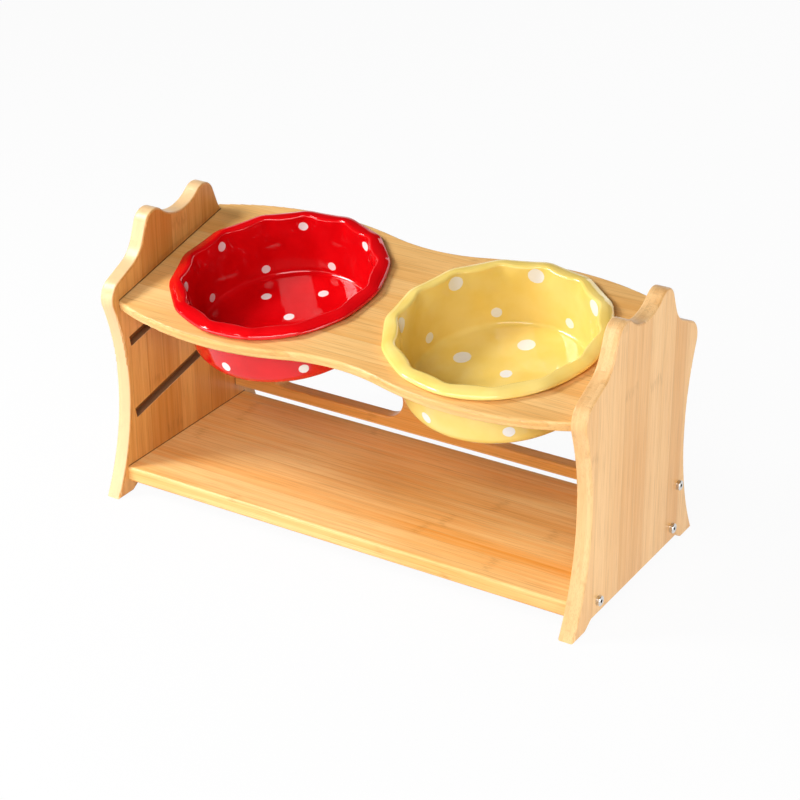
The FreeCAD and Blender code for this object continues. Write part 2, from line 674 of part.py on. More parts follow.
def screw(label, side, y, z):
    """A round-headed steel screw with a hexagon socket, driven through a panel into the end of a board."""
    body = new_body(label)
    section = new_sketch(body, f"{label}_section", "XY_Plane")
    tip = f"{-side} * screw_length"
    neck = f"{-side} * (screw_length - screw_tip_length)"
    head = f"{side} * screw_head_tall"
    polygon(section, [
        (head, "0"), (head, "screw_head_diameter / 2"), ("0", "screw_head_diameter / 2"),
        ("0", "screw_shank_diameter / 2"), (neck, "screw_shank_diameter / 2"), (tip, "0"),
    ])
    turned = body.newObject("PartDesign::Revolution", f"{label}_turned")
    turned.Profile = section
    turned.ReferenceAxis = (section, ["H_Axis"])
    turned.Angle = 360
    settle(turned)
    rounded(body, f"{label}_head", "screw_head_round", lambda edge: is_level(edge, 0, number(head)))
    socket = new_sketch(body, f"{label}_socket", "YZ_Plane", head)
    corner = "(screw_socket_flats / 2 / cos(30 * 1 deg))"
    across = f"({corner} / 2)"
    polygon(socket, [
        ("screw_socket_flats / 2", across), ("0", corner), ("-screw_socket_flats / 2", across),
        ("-screw_socket_flats / 2", f"-{across}"), ("0", f"-{corner}"), ("screw_socket_flats / 2", f"-{across}"),
    ])
    pocket(body, socket, f"{label}_socket_cut", "screw_socket_depth", reverse=side < 0)
    place(body, x=f"{side} * overall_length / 2", y=y, z=z)


def dowel(label, side):
    """A wooden pin, chamfered at both ends, half in the panel and half in the end of the rail."""
    body = new_body(label)
    section = new_sketch(body, f"{label}_section", "YZ_Plane")
    circle(section, "0", "0", "dowel_diameter / 2")
    pin_solid = pad(body, section, f"{label}_pin", "dowel_length", reverse=side < 0)
    round_edges = [f"Edge{n}" for n, edge in enumerate(pin_solid.Shape.Edges, start=1) if edge.isClosed()]
    bevel = body.newObject("PartDesign::Chamfer", f"{label}_ends")
    bevel.Base = (pin_solid, round_edges)
    bevel.setExpression("Size", bound("dowel_chamfer"))
    settle(bevel)
    y, z = DOWEL_PLACE
    inner_end = "inner_half - dowel_length + dowel_panel_depth"
    place(body, x=f"{side} * ({inner_end})", y=y, z=z)


side_panel("left_side_panel", -1)
side_panel("right_side_panel", 1)
bottom_shelf()
back_rail()
tabletop()
bowl("red_bowl", -1)
bowl("yellow_bowl", 1)
for side_name, side_sign in (("left", -1), ("right", 1)):
    for place_name, (place_y, place_z) in SCREW_PLACES.items():
        screw(f"{side_name}_{place_name}", side_sign, place_y, place_z)
    dowel(f"{side_name}_rail_dowel", side_sign)
doc.recompute()

# Nothing is written unless every object is sound.
for item in doc.Objects:
    if "Invalid" in item.State or "Error" in item.State:
        raise RuntimeError(f"{item.Label} failed: {item.State}")
for body in SUB_PARTS:
    if body.Shape.isNull() or not body.Shape.isValid() or len(body.Shape.Solids) != 1:
        raise RuntimeError(f"{body.Label} is not one sound solid")

os.makedirs("parts", exist_ok=True)
for body in SUB_PARTS:
    body.Shape.exportStep(f"parts/{body.Label}.step")
    box = body.Shape.optimalBoundingBox()
    print(f"{body.Label}: {body.Shape.Volume / 1000:.1f} cm3, "
          f"X {box.XMin:.1f} {box.XMax:.1f}, Y {box.YMin:.1f} {box.YMax:.1f}, Z {box.ZMin:.1f} {box.ZMax:.1f}")
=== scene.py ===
"""A raised double bowl stand: two bamboo side panels with a shelf and a slotted rail between them, and a
sloping lift-out top that holds two dotted ceramic bowls. Metres; X along the stand, Y to its back, Z up, the
floor at zero."""

import bpy
import numpy as np
from mathutils import Matrix, Vector


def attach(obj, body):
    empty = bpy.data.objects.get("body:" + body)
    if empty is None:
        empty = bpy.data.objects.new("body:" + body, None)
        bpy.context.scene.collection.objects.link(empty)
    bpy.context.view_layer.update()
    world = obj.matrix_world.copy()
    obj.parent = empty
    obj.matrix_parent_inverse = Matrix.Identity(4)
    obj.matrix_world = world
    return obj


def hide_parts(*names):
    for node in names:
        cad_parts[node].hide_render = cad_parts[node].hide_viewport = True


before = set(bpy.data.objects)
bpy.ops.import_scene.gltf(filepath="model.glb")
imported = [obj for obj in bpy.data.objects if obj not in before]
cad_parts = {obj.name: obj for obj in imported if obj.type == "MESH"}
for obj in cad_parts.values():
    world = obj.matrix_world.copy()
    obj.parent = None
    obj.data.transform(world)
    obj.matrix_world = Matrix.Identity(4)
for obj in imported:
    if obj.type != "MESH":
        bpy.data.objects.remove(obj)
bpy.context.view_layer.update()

# Side panels
# Two boards of pressed bamboo, 12 mm thick, with the strips upright. They are sawn to an outline with ears, a
# waist and two feet, grooved on the inside for the top, rounded over along the edges and lacquered.


def add_node(tree, kind, inputs=(), **settings):
    """One shader node. inputs gives sockets by name or number, each with a value or the output that is wired
    to it."""
    node = tree.nodes.new(kind)
    for name, value in settings.items():
        setattr(node, name, value)
    for socket, value in dict(inputs).items():
        if isinstance(value, bpy.types.NodeSocket):
            tree.links.new(value, node.inputs[socket])
        else:
            node.inputs[socket].default_value = value
    return node


def work_out(tree, operation, *values):
    """The result of one Math node."""
    return add_node(tree, "ShaderNodeMath", enumerate(values), operation=operation).outputs[0]


def off_from(tree, value, middle):
    """How far a value is from the middle, either way."""
    return work_out(tree, "ABSOLUTE", work_out(tree, "SUBTRACT", value, middle))


def fade(tree, value, full, none):
    """1 up to `full`, 0 from `none` on, and a smooth step between them."""
    ends = {0: value, 1: full, 2: none, 3: 1.0, 4: 0.0}
    return add_node(tree, "ShaderNodeMapRange", ends, interpolation_type="SMOOTHSTEP").outputs[0]


def tint(tree, share, first, second):
    """The first colour turned into the second by a share from 0 to 1."""
    return add_node(tree, "ShaderNodeMix", {0: share, 6: first, 7: second}, data_type="RGBA").outputs[2]


def stain(tree, colour, mask, strength, second):
    """The colour turned into the second one where the mask is, by the mask times the strength."""
    return tint(tree, work_out(tree, "MULTIPLY", mask, strength), colour, second)


def object_place(tree):
    """The place on the piece, in the stand's frame."""
    return add_node(tree, "ShaderNodeTexCoord").outputs["Object"]


def split(tree, vector):
    """A vector's three parts."""
    return add_node(tree, "ShaderNodeSeparateXYZ", {0: vector}).outputs


def new_group(name, inputs, outputs):
    """An empty shader group with named sockets: the group, the sockets that come in and those that go out."""
    group = bpy.data.node_groups.new(name, "ShaderNodeTree")
    for side, sockets in (("INPUT", inputs), ("OUTPUT", outputs)):
        for label, kind in sockets.items():
            group.interface.new_socket(label, in_out=side, socket_type=f"NodeSocket{kind}")
    return group, group.nodes.new("NodeGroupInput").outputs, group.nodes.new("NodeGroupOutput").inputs


def drawn_out(tree, axes, across, along, shift, detail=3.0):
    """Noise with `across` waves a metre over the grain and `along` waves a metre with it, moved on along the
    grain by up to 60 waves for each strip."""
    strip_shift = 60.0
    moved_on = work_out(tree, "MULTIPLY", shift, strip_shift)
    streak = add_node(tree, "ShaderNodeCombineXYZ", {
        0: work_out(tree, "MULTIPLY", axes[0], across),
        1: work_out(tree, "MULTIPLY", axes[1], across),
        2: work_out(tree, "MULTIPLY_ADD", axes[2], along, moved_on)})
    noise = {"Vector": streak.outputs[0], "Scale": 1.0, "Detail": detail, "Roughness": 0.6}
    return add_node(tree, "ShaderNodeTexNoise", noise).outputs[0]


def make_pressed_bamboo():
    """Pressed bamboo as a solid pattern. Strips of one width lie side by side along x, in layers through y,
    each layer moved over by a share of a strip, and run along z. A strip's tone is its own chance plus long
    veins and a wide cloud, held between 0 and 1. It has fine dark fibres, a dark glue line at its edges and,
    once in every joint length, at its own place, a wandering band of brown flecks."""
    layer_depth, layer_shift = 0.004, 0.37
    vein_share, chance_share, cloud_share, tone_start = 1.5, 0.65, 0.9, -1.0
    joint_length, joint_wander = 0.31, 0.014
    band_core, band_end = 0.0005, 0.006
    seam_width = 0.0007
    burnt, burnt_share = (0.16, 0.055, 0.012, 1.0), 0.62
    fibre_strength, fleck_strength, seam_strength = 0.3, 0.32, 0.22
    tree, given, result = new_group(
        "pressed_bamboo",
        {"Vector": "Vector", "Strip Width": "Float", "Seed": "Float", "Pale": "Color", "Deep": "Color"},
        {"Color": "Color", "Roughness": "Float", "Height": "Float"})
    axes = split(tree, given["Vector"])

    layer = work_out(tree, "FLOOR", work_out(tree, "DIVIDE", axes[1], layer_depth))
    strips_over = work_out(tree, "DIVIDE", axes[0], given["Strip Width"])
    place = work_out(tree, "MULTIPLY_ADD", layer, layer_shift, strips_over)
    strip = add_node(tree, "ShaderNodeCombineXYZ", {
        0: work_out(tree, "FLOOR", place), 1: layer, 2: given["Seed"]}).outputs[0]
    thrown = add_node(tree, "ShaderNodeTexWhiteNoise", {0: strip}).outputs["Color"]
    chance = add_node(tree, "ShaderNodeSeparateColor", {0: thrown}).outputs

    veins = drawn_out(tree, axes, across=240.0, along=5.0, shift=chance[0])
    fibres = drawn_out(tree, axes, across=1500.0, along=24.0, shift=chance[1])
    cloud = drawn_out(tree, axes, across=14.0, along=7.0, shift=0.0, detail=1.0)
    tone = work_out(tree, "MULTIPLY", chance[2], chance_share)
    tone = work_out(tree, "MULTIPLY_ADD", veins, vein_share, tone)
    tone = work_out(tree, "MULTIPLY_ADD", cloud, cloud_share, tone)
    tone = work_out(tree, "MAXIMUM", work_out(tree, "ADD", tone, tone_start), 0.0)
    wood = tint(tree, work_out(tree, "MINIMUM", tone, 1.0), given["Deep"], given["Pale"])
    brown = tint(tree, burnt_share, given["Deep"], burnt)
    wood = stain(tree, wood, fade(tree, fibres, 0.36, 0.50), fibre_strength, brown)

    joint = work_out(tree, "MULTIPLY_ADD", axes[2], 1 / joint_length, chance[1])
    joint = work_out(tree, "SUBTRACT", work_out(tree, "FRACT", joint), 0.5)
    joint = work_out(tree, "MULTIPLY", joint, joint_length)
    wander = drawn_out(tree, axes, across=150.0, along=20.0, shift=chance[2])
    wander = work_out(tree, "MULTIPLY_ADD", wander, joint_wander, -joint_wander / 2)
    from_joint = work_out(tree, "ABSOLUTE", work_out(tree, "ADD", joint, wander))
    band = fade(tree, from_joint, band_core, band_end)
    flecks = fade(tree, drawn_out(tree, axes, across=800.0, along=110.0, shift=chance[0]), 0.40, 0.60)
    wood = stain(tree, wood, work_out(tree, "MULTIPLY", band, flecks), fleck_strength, brown)

    to_edge = work_out(tree, "SUBTRACT", 0.5, off_from(tree, work_out(tree, "FRACT", place), 0.5))
    to_edge = work_out(tree, "MULTIPLY", to_edge, given["Strip Width"])
    seam = fade(tree, to_edge, 0.0, seam_width)
    wood = stain(tree, wood, seam, seam_strength, brown)

    tree.links.new(wood, result["Color"])
    tree.links.new(work_out(tree, "MULTIPLY_ADD", fibres, 0.16, 0.26), result["Roughness"])
    tree.links.new(work_out(tree, "MULTIPLY_ADD", seam, -0.5, fibres), result["Height"])
    return tree


pressed_bamboo = make_pressed_bamboo()


def new_finish(name):
    """A new material: itself, its node tree and its shader."""
    material = bpy.data.materials.new(name)
    material.use_nodes = True
    return material, material.node_tree, material.node_tree.nodes["Principled BSDF"]


def lacquered_bamboo(name, across, through, along, seed, pale, deep, lean=0.0, strip_width=0.019):
    """Bamboo under a satin lacquer. Its strips lie side by side along the axis `across`, in layers along
    `through`, and run along the axis `along`, on a board that leans by the angle `lean` about X."""
    material, tree, shader = new_finish(name)
    flat = add_node(tree, "ShaderNodeMapping", {
        "Vector": object_place(tree), "Rotation": (-lean, 0.0, 0.0)})
    axes = split(tree, flat.outputs[0])
    grain = add_node(tree, "ShaderNodeCombineXYZ", {0: axes[across], 1: axes[through], 2: axes[along]})
    board = add_node(tree, "ShaderNodeGroup", {
        "Vector": grain.outputs[0], "Strip Width": strip_width, "Seed": seed, "Pale": pale, "Deep": deep},
        node_tree=pressed_bamboo).outputs
    bump = add_node(tree, "ShaderNodeBump", {
        "Strength": 0.25, "Distance": 0.0004, "Height": board["Height"]})
    tree.links.new(board["Color"], shader.inputs["Base Color"])
    tree.links.new(board["Roughness"], shader.inputs["Roughness"])
    tree.links.new(bump.outputs[0], shader.inputs["Normal"])
    shader.inputs["Specular IOR Level"].default_value = 0.3
    shader.inputs["Coat Weight"].default_value = 0.12
    shader.inputs["Coat Roughness"].default_value = 0.25
    return material


def dress(node, material):
    """Gives a CAD node its finish."""
    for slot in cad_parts[node].material_slots:
        slot.material = material


slope = np.radians(12.5)


def make_sawn_panel():
    """A panel's three masks: its sawn edges, its grooves and a line along its joints. The sawn edges are
    where the surface turns away from X. The grooves weren't lacquered and are scorched, and their dark colour
    is painted
    shade as well: bands square to the sloping tabletop, deeper than the inner face and behind the grooves'
    closed ends. A thin line of painted shade lies on the inner face along the tabletop, the shelf and the
    rail."""
    groove_middles = (0.1681, 0.1345, 0.0754)
    groove_inside, groove_outside = 0.0044, 0.0046
    groove_front = -0.0668
    under_face, past_groove = 0.1884, 0.1945
    line_inside, line_outside, line_end = 0.0003, 0.0008, 0.001
    tree, given, result = new_group(
        "sawn_panel", {"Vector": "Vector", "Normal": "Vector"},
        {"Edge": "Float", "Groove": "Float", "Line": "Float"})
    facing = work_out(tree, "ABSOLUTE", split(tree, given["Normal"])[0])
    tree.links.new(fade(tree, facing, 0.3, 0.8), result["Edge"])

    axes = split(tree, given["Vector"])
    side = work_out(tree, "ABSOLUTE", axes[0])
    rise = work_out(tree, "MULTIPLY", axes[2], np.cos(slope))
    height = work_out(tree, "SUBTRACT", rise, work_out(tree, "MULTIPLY", axes[1], np.sin(slope)))

    # Bands for the grooves, whose dark colour is scorched wood and painted shade together.
    groove = 0.0
    for middle in groove_middles:
        band = fade(tree, off_from(tree, height, middle), groove_inside, groove_outside)
        groove = work_out(tree, "MAXIMUM", groove, band)
    for operation, value, bound in (
            ("GREATER_THAN", side, under_face),
            ("GREATER_THAN", axes[1], groove_front),
            ("LESS_THAN", side, past_groove)):
        groove = work_out(tree, "MULTIPLY", groove, work_out(tree, operation, value, bound))
    tree.links.new(groove, result["Groove"])

    # Painted shade: a thin dark line on the inner face where the tabletop, the shelf and the rail meet it.
    line = 0.0
    table_line = (height, 0.1728, axes[1], 0.0, 0.079)
    shelf_line = (axes[2], 0.0229, axes[1], -0.0043, 0.0767)
    rail_line = (axes[1], 0.0591, axes[2], 0.0575, 0.025)
    for across, at, along, middle, reach in (table_line, shelf_line, rail_line):
        thin = fade(tree, off_from(tree, across, at), line_inside, line_outside)
        long = fade(tree, off_from(tree, along, middle), reach - line_end, reach)
        line = work_out(tree, "MAXIMUM", line, work_out(tree, "MULTIPLY", thin, long))
    on_face = work_out(tree, "LESS_THAN", side, under_face)
    tree.links.new(work_out(tree, "MULTIPLY", line, on_face), result["Line"])
    return tree


sawn_panel = make_sawn_panel()


def panel_bamboo(name, seed, pale, deep, edge_highlight):
    """Lacquered bamboo with bare, scorched grooves whose dark colour is painted shade as well, lines of
    painted shade along the joints, and sawn edges made paler by the given share, partly a painted highlight."""
    bare_edge_and_highlight = (0.86, 0.65, 0.39, 1.0)
    # The grooves' colour: bare, scorched wood, dark enough to be painted shade in them as well.
    scorch_and_shade, scorch_and_shade_strength = (0.13, 0.045, 0.012, 1.0), 0.75
    # Painted shade: the colour of the thin line along the joints.
    joint_shade, joint_shade_strength = (0.09, 0.03, 0.01, 1.0), 0.8
    material = lacquered_bamboo(name, "Y", "X", "Z", seed, pale=pale, deep=deep)
    tree = material.node_tree
    shader = tree.nodes["Principled BSDF"]
    sawn = add_node(tree, "ShaderNodeGroup", {
        "Vector": object_place(tree),
        "Normal": add_node(tree, "ShaderNodeNewGeometry").outputs["True Normal"]},
        node_tree=sawn_panel).outputs
    face = shader.inputs["Base Color"].links[0].from_socket
    # The sawn edges made paler: partly bare wood, partly a painted highlight, stronger on the left panel.
    edged = stain(tree, face, sawn["Edge"], edge_highlight, bare_edge_and_highlight)
    grooved = stain(tree, edged, sawn["Groove"], scorch_and_shade_strength, scorch_and_shade)
    lined = stain(tree, grooved, sawn["Line"], joint_shade_strength, joint_shade)
    tree.links.new(lined, shader.inputs["Base Color"])
    return material


# The left panel's colours are darker than the right one's, as painted shade: its inner face lies in the
# stand's shade.
dress("left_side_panel", panel_bamboo(
    "left_panel_bamboo", 3.0, pale=(0.77, 0.39, 0.11, 1.0), deep=(0.55, 0.21, 0.035, 1.0), edge_highlight=0.6))
dress("right_side_panel", panel_bamboo(
    "right_panel_bamboo", 9.0, pale=(0.86, 0.53, 0.23, 1.0), deep=(0.72, 0.36, 0.11, 1.0), edge_highlight=0.15))

# Bottom shelf
# A plain board of the same bamboo with its strips along the stand, its long edges rounded. It stands between
# the feet and is held by two screws through each panel.

dress("bottom_shelf", lacquered_bamboo(
    "shelf_bamboo", "Y", "Z", "X", 5.0, pale=(0.92, 0.60, 0.24, 1.0), deep=(0.82, 0.33, 0.045, 1.0)))

# Back rail
# A bamboo board on edge behind the shelf, with two long slots cut through it. A dowel and a screw hold each
# end to its panel.

dress("back_rail", lacquered_bamboo(
    "rail_bamboo", "Z", "Y", "X", 11.0, pale=(0.88, 0.48, 0.15, 1.0), deep=(0.74, 0.31, 0.055, 1.0)))

# Dowels
# Turned beech pins with bevelled ends, glued half into the panel and half into the rail, so nothing of them
# shows.

pale_beech, dark_beech = (0.78, 0.56, 0.34, 1.0), (0.55, 0.33, 0.16, 1.0)
dowel_beech, tree, shader = new_finish("dowel_beech")
axes = split(tree, object_place(tree))
beech_fibres = drawn_out(tree, (axes["Y"], axes["Z"], axes["X"]), across=1800.0, along=60.0, shift=0.0)
tree.links.new(tint(tree, beech_fibres, dark_beech, pale_beech), shader.inputs["Base Color"])
tree.links.new(work_out(tree, "MULTIPLY_ADD", beech_fibres, 0.2, 0.5), shader.inputs["Roughness"])
for side in ("left", "right"):
    dress(f"{side}_rail_dowel", dowel_beech)

# Screws
# Six bright steel screws with low round heads and a hexagon socket, driven through the panels into the ends
# of the shelf and the rail. The heads are turned, so their shine is a little uneven, and the sockets are
# painted near black as painted shade in the recess.

screw_places = ((-0.058, 0.0165), (0.058, 0.0165), (0.0655, 0.0485))
socket_inside, socket_outside, under_head = 0.0015, 0.0017, 0.20262
dull_steel, bright_steel = (0.52, 0.51, 0.50, 1.0), (0.76, 0.75, 0.73, 1.0)
socket_shade = (0.015, 0.014, 0.013, 1.0)
screw_steel, tree, shader = new_finish("screw_steel")
turning = add_node(tree, "ShaderNodeTexNoise", {
    "Vector": object_place(tree), "Scale": 2600.0, "Detail": 2.0}).outputs[0]
steel = tint(tree, turning, dull_steel, bright_steel)
axes = split(tree, object_place(tree))
end_on = add_node(tree, "ShaderNodeCombineXYZ", {1: axes[1], 2: axes[2]}).outputs[0]
to_axis = 1.0
for y, z in screw_places:
    away = add_node(tree, "ShaderNodeVectorMath", {0: end_on, 1: (0.0, y, z)}, operation="DISTANCE")
    to_axis = work_out(tree, "MINIMUM", to_axis, away.outputs["Value"])
sunk = work_out(tree, "LESS_THAN", work_out(tree, "ABSOLUTE", axes[0]), under_head)
# Painted shade: the sockets, which are recesses, are painted near black.
socket = work_out(tree, "MULTIPLY", fade(tree, to_axis, socket_inside, socket_outside), sunk)
tree.links.new(tint(tree, socket, steel, socket_shade), shader.inputs["Base Color"])
tree.links.new(work_out(tree, "MULTIPLY_ADD", turning, 0.2, 0.16), shader.inputs["Roughness"])
shader.inputs["Metallic"].default_value = 1.0
for side in ("left", "right"):
    for joint in ("shelf_front", "shelf_back", "rail"):
        dress(f"{side}_{joint}_screw", screw_steel)

# Tabletop
# A thin bamboo board with two round holes and wavy long edges. Its ends slide into the panels' grooves, which
# slope down to the front.

dress("tabletop", lacquered_bamboo(
    "tabletop_bamboo", "Y", "Z", "X", 2.0, lean=slope,
    pale=(0.88, 0.56, 0.23, 1.0), deep=(0.76, 0.39, 0.11, 1.0)))

# Bowls
# Two thrown bowls with a foot and a flared rim that was pinched into fourteen scallops. They are glazed red
# and yellow and stamped with white dots, and each hangs by its rim in a hole of the tabletop.

hole_y, hole_z = -0.0096, 0.1742
scallops = 14


def rounded_line(corners, cuts, steps=8, gap=0.003, least=1e-4):
    """The line through the corners, with each inner corner C cut off by a parabola between the points A and B
    that lie one cut away from it on its two sides: (1-t)^2 A + 2t(1-t) C + t^2 B. Long runs get a point at
    every gap, and points nearer to the next one than `least` are left out."""
    before, corner, after = corners[:-2], corners[1:-1], corners[2:]
    start = corner + cuts[:, None] * (before - corner) / np.linalg.norm(before - corner, axis=1)[:, None]
    finish = corner + cuts[:, None] * (after - corner) / np.linalg.norm(after - corner, axis=1)[:, None]
    t = np.linspace(0, 1, steps)[:, None]
    bends = (1 - t) ** 2 * start[:, None] + 2 * t * (1 - t) * corner[:, None] + t ** 2 * finish[:, None]
    line = np.vstack([corners[:1], bends.reshape(-1, 2), corners[-1:]])
    run = np.append(0, np.cumsum(np.linalg.norm(np.diff(line, axis=0), axis=1)))
    marks = np.union1d(run, np.arange(0, run[-1], gap))
    marks = marks[np.diff(marks, append=2 * marks[-1]) > least]
    return np.column_stack([np.interp(marks, run, line[:, 0]), np.interp(marks, run, line[:, 1])])


def smooth(x):
    """0 up to x = 0, 1 from x = 1 on, and 3x^2 - 2x^3 between."""
    x = np.clip(x, 0, 1)
    return x * x * (3 - 2 * x)


def on_table(x, local):
    """Points given from the middle of a hole, with their third axis square to the tabletop, turned by the
    slope about X and moved to the hole."""
    u, v, w = local[..., 0], local[..., 1], local[..., 2]
    back = hole_y + np.cos(slope) * v - np.sin(slope) * w
    up = hole_z + np.sin(slope) * v + np.cos(slope) * w
    return np.stack([x + u, back, up], axis=-1)


# Half of the bowl's section as distance from its axis and height over the tabletop, in mm: floor, inner wall,
# rim, lip, seat, outer wall, foot. The second list is how far from each inner corner its rounding starts.
section = rounded_line(
    np.array([(0, -41.5), (66.5, -41.5), (70.3, 6.0), (72.0, 7.1), (76.4, 6.9), (80.7, 5.0), (81.5, 2.9),
              (78.4, 0.0), (75.6, 0.0), (71.5, -46.5), (57.0, -46.5), (55.5, -45.0), (0, -45.0)]) / 1000,
    np.array([4.0, 0.9, 0.9, 2.0, 1.1, 1.1, 0.8, 0.8, 10.0, 0.6, 0.6]) / 1000)


def scalloped_bowl(name, x, peak, turns=294):
    """The section turned round the axis, r cos a and r sin a, with scallops: the rim goes out and up with
    cos n + cos(2n)/6, n = 14 (a - peak), which has a tighter crest and a wider hollow. The scallops are
    deepest at the mouth, flatter at the rim's edge, and fade out down both walls. The two ends of the section
    lie on the axis and close the bowl."""
    inner_start, inner_run = -0.014, 0.019
    outer_start, outer_run = 0.0004, 0.0036
    mouth_radius, rim_run = 0.0705, 0.008
    mouth_depth, rim_flattening, rim_lift = 0.0014, 0.0008, 0.0003
    r, w = section[1:-1, :1], section[1:-1, 1:]
    inside = np.arange(len(r))[:, None] < r.argmax()
    inner_pinch = smooth((w - inner_start) / inner_run)
    outer_pinch = smooth((w - outer_start) / outer_run)
    angle = np.linspace(0, 2 * np.pi, turns, endpoint=False)
    turned = scallops * (angle - peak)
    wave = (np.cos(turned) + np.cos(2 * turned) / 6) * np.where(inside, inner_pinch, outer_pinch)
    depth = mouth_depth - rim_flattening * smooth((r - mouth_radius) / rim_run)
    r, w = r + depth * wave, w + rim_lift * wave
    rings = np.stack([r * np.cos(angle), r * np.sin(angle), w], axis=-1).reshape(-1, 3)
    ends = np.array([(0, 0, section[0, 1]), (0, 0, section[-1, 1])])
    points = on_table(x, np.vstack([rings, ends]))
    cell = np.arange(len(rings)).reshape(-1, turns)
    beside = np.roll(cell, -1, axis=1)
    walls = np.stack([cell[:-1], cell[1:], beside[1:], beside[:-1]], axis=-1).reshape(-1, 4)
    middle = np.full(turns, len(rings))
    floor = np.stack([middle, cell[0], beside[0]], axis=-1)
    foot = np.stack([middle + 1, beside[-1], cell[-1]], axis=-1)
    mesh = bpy.data.meshes.new(name)
    mesh.from_pydata(points.tolist(), [], walls.tolist() + floor.tolist() + foot.tolist())
    mesh.polygons.foreach_set("use_smooth", np.ones(len(mesh.polygons), bool))
    bowl = bpy.data.objects.new(name, mesh)
    bpy.context.scene.collection.objects.link(bowl)
    return bowl


def stamped_dots(x, rings):
    """A stamp for each dot: a ball that cuts the bowl's skin in the dot's outline. Its middle stands off the
    skin by 0.6 of the dot's radius, so that it doesn't reach the skin on the wall's other side, and its
    radius is the hypotenuse of the two."""
    for radius, height, out, up, wide, angles in rings:
        dot_radius = wide / 2000
        stand_off = 0.6 * dot_radius
        a = np.radians(angles)
        r, w = radius / 1000 + out * stand_off, height / 1000 + up * stand_off
        middles = on_table(x, np.stack([r * np.cos(a), r * np.sin(a), np.full(len(a), w)], axis=-1))
        for middle in middles:
            yield middle, np.hypot(dot_radius, stand_off)


def make_dot_stamp():
    """One stamp: the lower of what came in and the distance to a ball's skin, which is below 0 in a dot."""
    tree, given, result = new_group(
        "dot_stamp", {"Vector": "Vector", "Middle": "Vector", "Reach": "Float", "Nearest": "Float"},
        {"Nearest": "Float"})
    ends = {0: given["Vector"], 1: given["Middle"]}
    away = add_node(tree, "ShaderNodeVectorMath", ends, operation="DISTANCE").outputs["Value"]
    to_skin = work_out(tree, "SUBTRACT", away, given["Reach"])
    tree.links.new(work_out(tree, "MINIMUM", to_skin, given["Nearest"]), result["Nearest"])
    return tree


dot_stamp = make_dot_stamp()


def dotted_glaze(name, thick, thin, stamps):
    """A glossy glaze that is a little uneven in tone, with white dots under it. The dots' outlines are uneven
    too: each place is moved by a ripple before it is measured."""
    ripple_reach, dot_softness = 0.0005, 0.0002
    dull_white, clear_white = (0.80, 0.79, 0.77, 1.0), (0.88, 0.87, 0.85, 1.0)
    material, tree, shader = new_finish(name)
    spot = object_place(tree)
    ripple = add_node(tree, "ShaderNodeTexNoise", {"Vector": spot, "Scale": 420.0, "Detail": 1.0}).outputs
    cloud = add_node(tree, "ShaderNodeTexNoise", {"Vector": spot, "Scale": 45.0, "Detail": 3.0}).outputs[0]
    either_way = add_node(tree, "ShaderNodeVectorMath", {
        0: ripple["Color"], 1: (0.5, 0.5, 0.5)}, operation="SUBTRACT").outputs[0]
    uneven = add_node(tree, "ShaderNodeVectorMath", {
        0: either_way, 1: (ripple_reach,) * 3, 2: spot}, operation="MULTIPLY_ADD").outputs[0]
    nearest = 1.0
    for middle, reach in stamps:
        nearest = add_node(tree, "ShaderNodeGroup", {
            "Vector": uneven, "Middle": middle, "Reach": reach, "Nearest": nearest},
            node_tree=dot_stamp).outputs[0]
    dot = fade(tree, nearest, -dot_softness, dot_softness)
    glaze = tint(tree, fade(tree, cloud, 0.25, 0.75), thin, thick)
    white = tint(tree, cloud, dull_white, clear_white)
    tree.links.new(tint(tree, dot, glaze, white), shader.inputs["Base Color"])
    tree.links.new(work_out(tree, "MULTIPLY_ADD", cloud, 0.06, 0.03), shader.inputs["Roughness"])
    bump = add_node(tree, "ShaderNodeBump", {"Strength": 0.12, "Distance": 0.0004, "Height": cloud})
    tree.links.new(bump.outputs[0], shader.inputs["Normal"])
    shader.inputs["IOR"].default_value = 1.52
    return material


# Each ring of dots: distance from the axis and height over the tabletop in mm, which way off the skin its
# balls stand, the dots' width in mm, and the angles they were stamped at, from +X over the back.
red_dots = (
    (69.8, -1.5, -1, 0, 7.9, (7.0, 58.6, 109.1, 162.9, 208.9, 259.0, 311.0)),
    (67.2, -34.0, -1, 0, 6.6, (2.0, 47.0, 92.6, 137.6, 181.9, 227.0, 272.0, 317.0)),
    (42.5, -41.5, 0, 1, 8.0, (25.0, 85.0, 147.2, 216.0, 270.0, 326.0)),
    (8.1, -41.5, 0, 1, 8.0, (122.0,)),
    (72.7, -33.0, 1, 0, 7.6, (0.0, 45.0, 90.0, 134.0, 179.0, 222.0, 265.9, 313.1)))
yellow_dots = (
    (69.9, 0.0, -1, 0, 11.8, (353.0, 44.7, 95.6, 144.6, 194.7, 247.0, 301.0)),
    (67.4, -31.0, -1, 0, 7.9, (22.0, 72.9, 122.5, 170.3, 221.0, 272.0, 324.0)),
    (42.0, -41.5, 0, 1, 13.0, (24.0, 95.9, 164.2, 238.0, 310.0)),
    (6.2, -41.5, 0, 1, 8.8, (103.0,)),
    (72.8, -32.0, 1, 0, 8.8, (46.0, 97.0, 149.0, 201.0, 252.9, 302.4, 354.0)))

# Each bowl: its colour, its hole's place along the stand, the angle of one scallop's crest, its dots, and the
# glaze where it is thick and where it is thin.
bowls = (
    ("red", -0.0916, 82.0, red_dots, (0.63, 0.001, 0.003, 1.0), (0.72, 0.003, 0.006, 1.0)),
    ("yellow", 0.0916, 91.5, yellow_dots, (0.87, 0.62, 0.14, 1.0), (0.90, 0.68, 0.21, 1.0)))
for colour, x, peak, dots, thick, thin in bowls:
    bowl = scalloped_bowl(f"{colour}_glazed_bowl", x, np.radians(peak))
    glaze = dotted_glaze(f"{colour}_dotted_glaze", thick, thin, stamped_dots(x, dots))
    bowl.data.materials.append(glaze)
    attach(bowl, colour)
    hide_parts(f"{colour}_bowl")

# Studio
# A white table under soft lamps: a softbox high on the left that gives the shadows, a wide one in front, a
# weak one behind, and low white reflectors at the front and the right. The picture is taken from the front
# right with a long lens.

